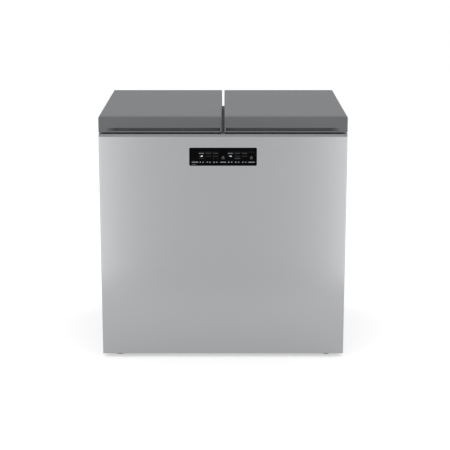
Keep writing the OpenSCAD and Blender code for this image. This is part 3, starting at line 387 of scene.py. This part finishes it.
def moved(tree, geometry, place, turn=(0, 0, 0)):
    """Geometry turned and put in a place."""
    return add(tree, "GeometryNodeTransform", {"Geometry": geometry, "Translation": place,
                                               "Rotation": turn}).outputs["Geometry"]


def finish_tree(tree, output, geometry, material):
    """Ends a tree with real geometry in its material."""
    real = add(tree, "GeometryNodeRealizeInstances", {"Geometry": geometry})
    dressed = add(tree, "GeometryNodeSetMaterial", {"Geometry": real.outputs["Geometry"],
                                                    "Material": material})
    tree.links.new(dressed.outputs["Geometry"], output.inputs["Geometry"])


def solids_of(node):
    """The box round each loose solid of a CAD node, as its two far corners."""
    copy = bmesh.new()
    copy.from_mesh(frame["nodes"][node].data)
    bmesh.ops.remove_doubles(copy, verts=copy.verts, dist=WELD)
    found, boxes = set(), []
    for start in copy.verts:
        if start in found:
            continue
        found.add(start)
        reached, i = [start], 0
        while i < len(reached):
            for edge in reached[i].link_edges:
                other = edge.other_vert(reached[i])
                if other not in found:
                    found.add(other)
                    reached.append(other)
            i += 1
        boxes.append((Vector([min(v.co[k] for v in reached) for k in range(3)]),
                      Vector([max(v.co[k] for v in reached) for k in range(3)])))
    copy.free()
    return boxes


# ---- Screws ----

PLAIN_HEAD = 1.6 * MM  # height of the plain solids' heads, from their seats
WASHER_TOP = 0.92  # share of the washer's radius
DOME_TOP, DOME_FOOT = 0.78, 1.7  # shares of the hexagon's radius: the cone that rounds the head off
RECESS_LENGTH, RECESS_RISE = 1.1, 1.05  # shares of the hexagon's radius and of the head's height


def cone(tree, sides, top, foot, height):
    """A closed cone or prism that stands on the origin."""
    return add(tree, "GeometryNodeMeshCone", {
        "Vertices": sides, "Radius Top": top, "Radius Bottom": foot, "Depth": height}).outputs["Mesh"]


def screw_tree(material):
    """A hexagon washer-head screw with a cross recess at each point, facing the back. Millimetres."""
    tree, given, output = new_tree("washer head screws", {
        "Washer radius": 4.6, "Washer height": 0.7, "Hexagon radius": 3.3, "Head height": 2.8,
        "Recess width": 0.9, "Shank radius": 2.0, "Shank length": 1.0, "Seed": 4})
    size = given.outputs
    head_h, hexagon = size["Head height"], size["Hexagon radius"]
    washer = cone(tree, sides=32, top=times(tree, size["Washer radius"], WASHER_TOP),
                  foot=size["Washer radius"], height=size["Washer height"])
    prism = cone(tree, sides=6, top=hexagon, foot=hexagon, height=head_h)
    dome = cone(tree, sides=32, top=times(tree, hexagon, DOME_TOP),
                foot=times(tree, hexagon, DOME_FOOT), height=head_h)
    head = add(tree, "GeometryNodeMeshBoolean", operation="INTERSECT", solver="EXACT")
    tree.links.new(dome, head.inputs["Mesh 2"])
    tree.links.new(prism, head.inputs["Mesh 2"])
    arm = add(tree, "GeometryNodeMeshCube", {"Size": vector(
        tree, times(tree, hexagon, RECESS_LENGTH), size["Recess width"], head_h)})
    arm_place = vector(tree, 0, 0, times(tree, head_h, RECESS_RISE))
    crossed = add(tree, "GeometryNodeMeshBoolean", operation="DIFFERENCE", solver="EXACT")
    tree.links.new(head.outputs["Mesh"], crossed.inputs["Mesh 1"])
    for angle in (0, math.pi / 2):
        tree.links.new(moved(tree, arm.outputs["Mesh"], arm_place, (0, 0, angle)), crossed.inputs["Mesh 2"])
    shank = add(tree, "GeometryNodeMeshCylinder", {
        "Vertices": 24, "Radius": size["Shank radius"], "Depth": size["Shank length"]})
    sunk = moved(tree, shank.outputs["Mesh"], vector(tree, 0, 0, times(tree, size["Shank length"], -0.5)))
    screw = add(tree, "GeometryNodeJoinGeometry")
    for mesh in (washer, crossed.outputs["Mesh"], sunk):
        tree.links.new(mesh, screw.inputs["Geometry"])
    turn = add(tree, "FunctionNodeRandomValue", {"Min": 0.0, "Max": math.pi / 3, "Seed": size["Seed"]},
               data_type="FLOAT")
    points = add(tree, "GeometryNodeInstanceOnPoints", {
        "Points": size["Geometry"], "Instance": screw.outputs["Geometry"],
        "Rotation": (-math.pi / 2, 0, 0), "Scale": (MM, MM, MM)})
    turned = add(tree, "GeometryNodeRotateInstances", {
        "Instances": points.outputs["Instances"], "Rotation": vector(tree, 0, 0, turn.outputs["Value"]),
        "Local Space": True})
    finish_tree(tree, output, turned.outputs["Instances"], material)
    return tree


def back_screws(node):
    """Screws with real heads, in the places of a node's plain ones."""
    boxes = solids_of(node)
    seats = [((lo.x + hi.x) / 2, hi.y - PLAIN_HEAD, (lo.z + hi.z) / 2) for lo, hi in boxes]
    shank = max(hi.y - lo.y for lo, hi in boxes) - PLAIN_HEAD
    mesh = run_tree(screw_tree(FINISHES["zinc"]), points_mesh(node, seats), node,
                    **{"Shank length": shank / MM})
    make_piece(node + "_cross", mesh, body_of(node), FINISHES["zinc"], [node])


for node in ("rear_cover_screws", "bracket_screws"):
    back_screws(node)


# ---- Hinge springs ----


def wire_tree(material):
    """Round wire along the edges of a mesh."""
    tree, given, output = new_tree("spring wire", {"Radius": 0.00075})
    path = add(tree, "GeometryNodeMeshToCurve", {"Mesh": given.outputs["Geometry"]})
    ring = add(tree, "GeometryNodeCurvePrimitiveCircle", {
        "Resolution": 12, "Radius": given.outputs["Radius"]})
    wire = add(tree, "GeometryNodeCurveToMesh", {
        "Curve": path.outputs["Curve"], "Profile Curve": ring.outputs["Curve"], "Fill Caps": True})
    smooth = add(tree, "GeometryNodeSetShadeSmooth", {"Geometry": wire.outputs["Mesh"]})
    finish_tree(tree, output, smooth.outputs["Geometry"], material)
    return tree


def path_mesh(name, paths):
    """Open runs of points joined by edges."""
    points, edges = [], []
    for path in paths:
        first = len(points)
        points += [tuple(p) for p in path]
        edges += [(first + i, first + i + 1) for i in range(len(path) - 1)]
    mesh = bpy.data.meshes.new(name)
    mesh.from_pydata(points, edges, [])
    return mesh


def hinge_springs():
    """Wound springs: the coil and its lower leg stay with the cabinet, the upper leg turns with the lid.

    plate is the bracket's face behind the pin, and leaf the face above it that the upper leg bears on.
    """
    wire_r, turns, steps = 0.75 * MM, 8, 24
    plate, leaf = -12.2 * MM, 3.3 * MM
    foot_end, foot_run, bend_fall = -24 * MM, 5 * MM, -6 * MM
    coils, legs = [], {"left": [], "right": []}
    for lo, hi in solids_of("hinge_springs"):
        middle = (lo + hi) / 2
        run = hi.x - lo.x - 2 * wire_r
        r = (hi.z - lo.z) / 2 - wire_r
        coil = []
        for i in range(turns * steps - steps // 4 + 1):
            a = math.pi + 2 * math.pi * i / steps
            along = run * (i / (turns * steps) - 0.5)
            coil.append(middle + Vector((along, r * math.cos(a), -r * math.sin(a))))
        reach = plate + r
        foot = [coil[0] + Vector((0, reach, z)) for z in (foot_end, foot_end + foot_run)]
        bend = [coil[0] + Vector((0, reach * k, bend_fall * (k + 0.2))) for k in (0.55, 0.2)]
        coils.append(foot + bend + coil)
        end_x = (coil[-1] - middle).x
        upper = ((0, r), (-3 * MM, r - 0.2 * MM), (-7 * MM, leaf), (-22 * MM, leaf))
        legs["left" if middle.x < 0 else "right"].append([middle + Vector((end_x, y, z)) for y, z in upper])
    zinc = FINISHES["zinc"]
    tree = wire_tree(zinc)
    mesh = run_tree(tree, path_mesh("springs", coils), "springs", Radius=wire_r)
    make_piece("hinge_spring_coils", mesh, body_of("hinge_springs"), zinc, ["hinge_springs"])
    for side, paths in legs.items():
        mesh = run_tree(tree, path_mesh("legs", paths), "legs", Radius=wire_r)
        make_piece("hinge_spring_legs_" + side, mesh, body_of("hinge_leaves_" + side), zinc)


hinge_springs()


# ---- Lid gaskets ----

GASKET_WIDTH = 12 * MM


def gasket_tree(material):
    """The input's closed outline swept round a rectangle with rounded corners."""
    tree, given, output = new_tree("lid gasket", {
        "Width": 0.4, "Depth": 0.7, "Corner radius": 0.024, "Edge radius": 0.00035,
        "Middle X": 0.0, "Middle Y": 0.0, "Seat Z": 0.87})
    size = given.outputs
    loop = add(tree, "GeometryNodeCurvePrimitiveQuadrilateral", {
        "Width": size["Width"], "Height": size["Depth"]})
    round_loop = add(tree, "GeometryNodeFilletCurve", {
        "Curve": loop.outputs["Curve"], "Count": 14, "Radius": size["Corner radius"]}, mode="POLY")
    upright = add(tree, "GeometryNodeSetCurveNormal", {"Curve": round_loop.outputs["Curve"]},
                  mode="Z_UP")
    outline = add(tree, "GeometryNodeMeshToCurve", {"Mesh": size["Geometry"]})
    soft = add(tree, "GeometryNodeFilletCurve", {
        "Curve": outline.outputs["Curve"], "Count": 2, "Radius": size["Edge radius"],
        "Limit Radius": True}, mode="POLY")
    body = add(tree, "GeometryNodeCurveToMesh", {
        "Curve": upright.outputs["Curve"], "Profile Curve": soft.outputs["Curve"]})
    smooth = add(tree, "GeometryNodeSetShadeSmooth", {"Geometry": body.outputs["Mesh"]})
    place = vector(tree, size["Middle X"], size["Middle Y"], size["Seat Z"])
    finish_tree(tree, output, moved(tree, smooth.outputs["Geometry"], place), material)
    return tree


def gasket_outline(height):
    """Section of the gasket, one half mirrored: foot with its magnet, folded neck and flange.

    Each pair is the distance from the middle and the height above the seat, in millimetres. The heights
    are written downwards, because the sweep turns the outline over.
    """
    half = [(2.4, 0.0), (5.2, 0.15), (6.0, 1.1), (5.7, 2.4), (3.4, 2.9), (2.6, 3.4), (4.9, 3.8),
            (5.1, 4.3), (2.9, 4.7), (2.9, 5.2), (6.0, 5.5), (6.0, height / MM)]
    points = [(-x * MM, -z * MM, 0) for x, z in half]
    points += [(x * MM, -z * MM, 0) for x, z in reversed(half)]
    mesh = bpy.data.meshes.new("gasket_outline")
    mesh.from_pydata(points, [(i, (i + 1) % len(points)) for i in range(len(points))], [])
    return mesh


def lid_gaskets():
    """A folded gasket under each lid, in the place of its plain one."""
    grey = FINISHES["gasket_grey"]
    tree = gasket_tree(grey)
    for side in ("left", "right"):
        node = "lid_gasket_" + side
        lo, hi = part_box(node)
        mesh = run_tree(tree, gasket_outline(hi.z - lo.z), node, **{
            "Width": hi.x - lo.x - GASKET_WIDTH, "Depth": hi.y - lo.y - GASKET_WIDTH,
            "Middle X": (lo.x + hi.x) / 2, "Middle Y": (lo.y + hi.y) / 2, "Seat Z": lo.z})
        make_piece("folded_gasket_" + side, mesh, body_of(node), grey, [node])


lid_gaskets()


# ---- Display marks ----
# A mark is a bar: its middle's X and Z, its width and its height, and for some a turn in radians. All
# lengths are millimetres from the middle of the glass.

LETTER_WIDTH = 0.62  # share of the step from letter to letter
LETTER_HEIGHTS = (1.0, 0.8, 0.92)  # shares of the word's height, in turn
HAIRLINE = 0.5


def mark_tree(material):
    """A bar at each point, as wide and high as the point's size says, and turned by its middle number."""
    tree, given, output = new_tree("display marks " + material.name, {"Thickness": 0.00006})
    bar = add(tree, "GeometryNodeMeshCube", {"Size": (1, 1, 1)})
    size = add(tree, "GeometryNodeInputNamedAttribute", {"Name": "size"}, data_type="FLOAT_VECTOR")
    width, turn, height = add(tree, "ShaderNodeSeparateXYZ", {"Vector": size.outputs["Attribute"]}).outputs
    bars = add(tree, "GeometryNodeInstanceOnPoints", {
        "Points": given.outputs["Geometry"], "Instance": bar.outputs["Mesh"],
        "Rotation": vector(tree, 0, turn, 0),
        "Scale": vector(tree, width, given.outputs["Thickness"], height)})
    finish_tree(tree, output, bars.outputs["Instances"], material)
    return tree


def word(x0, x1, z, height, letters):
    """Marks that stand for the letters of a small word."""
    step = (x1 - x0) / letters
    return [(x0 + (i + 0.5) * step, z, step * LETTER_WIDTH, height * LETTER_HEIGHTS[i % 3])
            for i in range(letters)]


def padlock(x, z):
    """Marks of a small lock: its body, keyhole and shackle."""
    stroke, half_w, half_h, r, steps, overlap = 0.8, 4.2, 2.9, 2.9, 6, 1.1
    level, upright, keyhole = (2 * half_w + stroke, stroke), (stroke, 2 * half_h), (1.4, 2.2)
    marks = [(x, z - half_h, *level), (x, z + half_h, *level), (x - half_w, z, *upright),
             (x + half_w, z, *upright), (x, z, *keyhole)]
    shackle_z, arc = z + half_h + stroke, math.pi * r / steps * overlap
    for k in range(steps):
        a = math.pi * (k + 0.5) / steps
        turn = math.atan2(-math.cos(a), -math.sin(a))
        marks.append((x + r * math.cos(a), shackle_z + r * math.sin(a), arc, stroke, turn))
    return marks


def on_glass(marks):
    """The marks as points on the face of the glass, with their sizes."""
    lo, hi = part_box("display_window")
    x, z = (lo.x + hi.x) / 2, (lo.z + hi.z) / 2
    points = [(x + mark[0] * MM, lo.y, z + mark[1] * MM) for mark in marks]
    sizes = [(mark[2] * MM, mark[4] if len(mark) > 4 else 0, mark[3] * MM) for mark in marks]
    return points_mesh("marks", points, sizes)


def display_marks():
    """Rows of small print, hairlines between the keys, and the lamps that are lit."""
    rule_z, title_z, state_z, note_z, key_z, foot_z = 17.4, 12.7, 2.1, -6.2, -20.6, -28.8
    lock_z, column_step, column_w = -5.2, 26.2, 20
    keys, dim, faint, lamps = [], [], [], []
    for start, rule in ((-90.3, 73), (17.6, 100)):
        faint.append((start + rule / 2, rule_z, rule, HAIRLINE))
        for column in range(3):
            x = start + column * column_step
            (faint if column else dim).extend(word(x, x + column_w, title_z, height=4.0, letters=5))
            faint.extend(word(x, x + column_w, state_z, height=2.4, letters=6))
        lamps.append((start + 10.4, state_z, 6.6, 2.6))
    faint += word(-90.3, -70.5, note_z, height=1.8, letters=6)
    faint += [(-35.4, note_z, 2.6, 2.6), (-21.2, note_z, 2.6, 2.6), (53.6, -6.4, 20.8, 3.4)]
    for x0, x1 in ((-117, -93.2), (-10.8, 11.0), (94.3, 118)):
        keys.extend(word(x0, x1, key_z, height=2.9, letters=7))
    for x in (-84.7, -74.2, -58.1, -48.7, -33.5, -23.7, 21.4, 32.4, 47.9, 58.3, 74.4, 84.5):
        keys.extend(word(x - 2.4, x + 2.4, key_z, height=3.4, letters=2))
    for x in (-90.6, -65.3, -41.1, -16.4, 13.8, 40.3, 66.9, 91.2):
        faint.append((x, key_z, HAIRLINE, 5.4))
    dim += padlock(0, lock_z) + padlock(105.7, lock_z)
    dim += word(-116.9, -101.6, foot_z, height=1.9, letters=6)
    for label, marks, material in (
            ("display_print", keys, PRINT), ("display_dim_print", dim, DIM_PRINT),
            ("display_faint_print", faint, FAINT_PRINT), ("display_lamps", lamps, LAMP)):
        mesh = run_tree(mark_tree(material), on_glass(marks), label)
        make_piece(label, mesh, body_of("display_window"), material)


display_marks()


# ---- Stage ----

FLOOR_SIZE, FLOOR_TONE, FLOOR_GLOW = 80, 0.70, 0.425
ROOM_LIGHT = 0.85
CAMERA_PLACE, LOOK_DOWN_DEGREES = (0.0073, -5.40, 1.702), 13.226
LENS_MM, SENSOR_MM = 109.1, 36.0


def seen(tree):
    """1 for what the camera sees, straight, mirrored or through glass, and 0 for what only lights."""
    ray = add(tree, "ShaderNodeLightPath").outputs
    either = add(tree, "ShaderNodeMath", {0: ray["Is Camera Ray"], 1: ray["Is Glossy Ray"]},
                 operation="ADD")
    return add(tree, "ShaderNodeMath", {0: either.outputs[0], 1: ray["Is Transmission Ray"]},
               operation="ADD", use_clamp=True).outputs[0]


def studio_floor():
    """A pale floor that goes white away from the cabinet and keeps its shadow."""
    bpy.ops.mesh.primitive_plane_add(size=FLOOR_SIZE, location=(0, 0, 0))
    floor = bpy.context.object
    floor.name = "studio_floor"
    material, tree = new_finish("studio_floor")
    strength = times(tree, seen(tree), FLOOR_GLOW)
    glow = add(tree, "ShaderNodeEmission", {"Color": WHITE, "Strength": strength})
    matt = add(tree, "ShaderNodeBsdfDiffuse", {"Color": colour(FLOOR_TONE, FLOOR_TONE, FLOOR_TONE)})
    both = add(tree, "ShaderNodeAddShader", {0: matt.outputs[0], 1: glow.outputs[0]})
    add(tree, "ShaderNodeOutputMaterial", {"Surface": both.outputs[0]})
    floor.data.materials.append(material)


def studio_world():
    """White behind the object, and soft light from all round."""
    world = bpy.data.worlds.new("studio")
    bpy.context.scene.world = world
    world.use_nodes = True
    tree = world.node_tree
    tree.nodes.clear()
    room = add(tree, "ShaderNodeBackground", {"Color": WHITE, "Strength": ROOM_LIGHT})
    backdrop = add(tree, "ShaderNodeBackground", {"Color": WHITE, "Strength": 1.0})
    mix = add(tree, "ShaderNodeMixShader", {0: seen(tree), 1: room.outputs[0], 2: backdrop.outputs[0]})
    add(tree, "ShaderNodeOutputWorld", {"Surface": mix.outputs[0]})


def softbox(name, place, aim, width, height, watts):
    """A rectangular soft light turned to a point."""
    lamp = bpy.data.lights.new(name, "AREA")
    lamp.shape = "RECTANGLE"
    lamp.size, lamp.size_y, lamp.energy = width, height, watts
    box = bpy.data.objects.new(name, lamp)
    box.location = place
    box.rotation_euler = (Vector(aim) - Vector(place)).to_track_quat("-Z", "Y").to_euler()
    box.visible_camera = False
    bpy.context.scene.collection.objects.link(box)


def photograph_camera():
    """The camera of the photograph: straight in front, a little above the lids and looking down on them."""
    lens = bpy.data.cameras.new("camera")
    lens.lens, lens.sensor_width = LENS_MM, SENSOR_MM
    camera = bpy.data.objects.new("camera", lens)
    camera.location = CAMERA_PLACE
    camera.rotation_euler = (math.radians(90 - LOOK_DOWN_DEGREES), 0, 0)
    bpy.context.scene.collection.objects.link(camera)
    bpy.context.scene.camera = camera


studio_floor()
studio_world()
softbox("overhead_softbox", place=(0, 1.0, 2.9), aim=(0, 0, 0.9), width=2.4, height=1.6, watts=9)
for side, x in (("left", -1.09), ("right", 1.09)):
    softbox(side + "_softbox", place=(x, -1.45, 1.1), aim=(x, 0, 1.1), width=1.0, height=2.2, watts=10)
photograph_camera()
bpy.context.scene.view_settings.view_transform = "Standard"
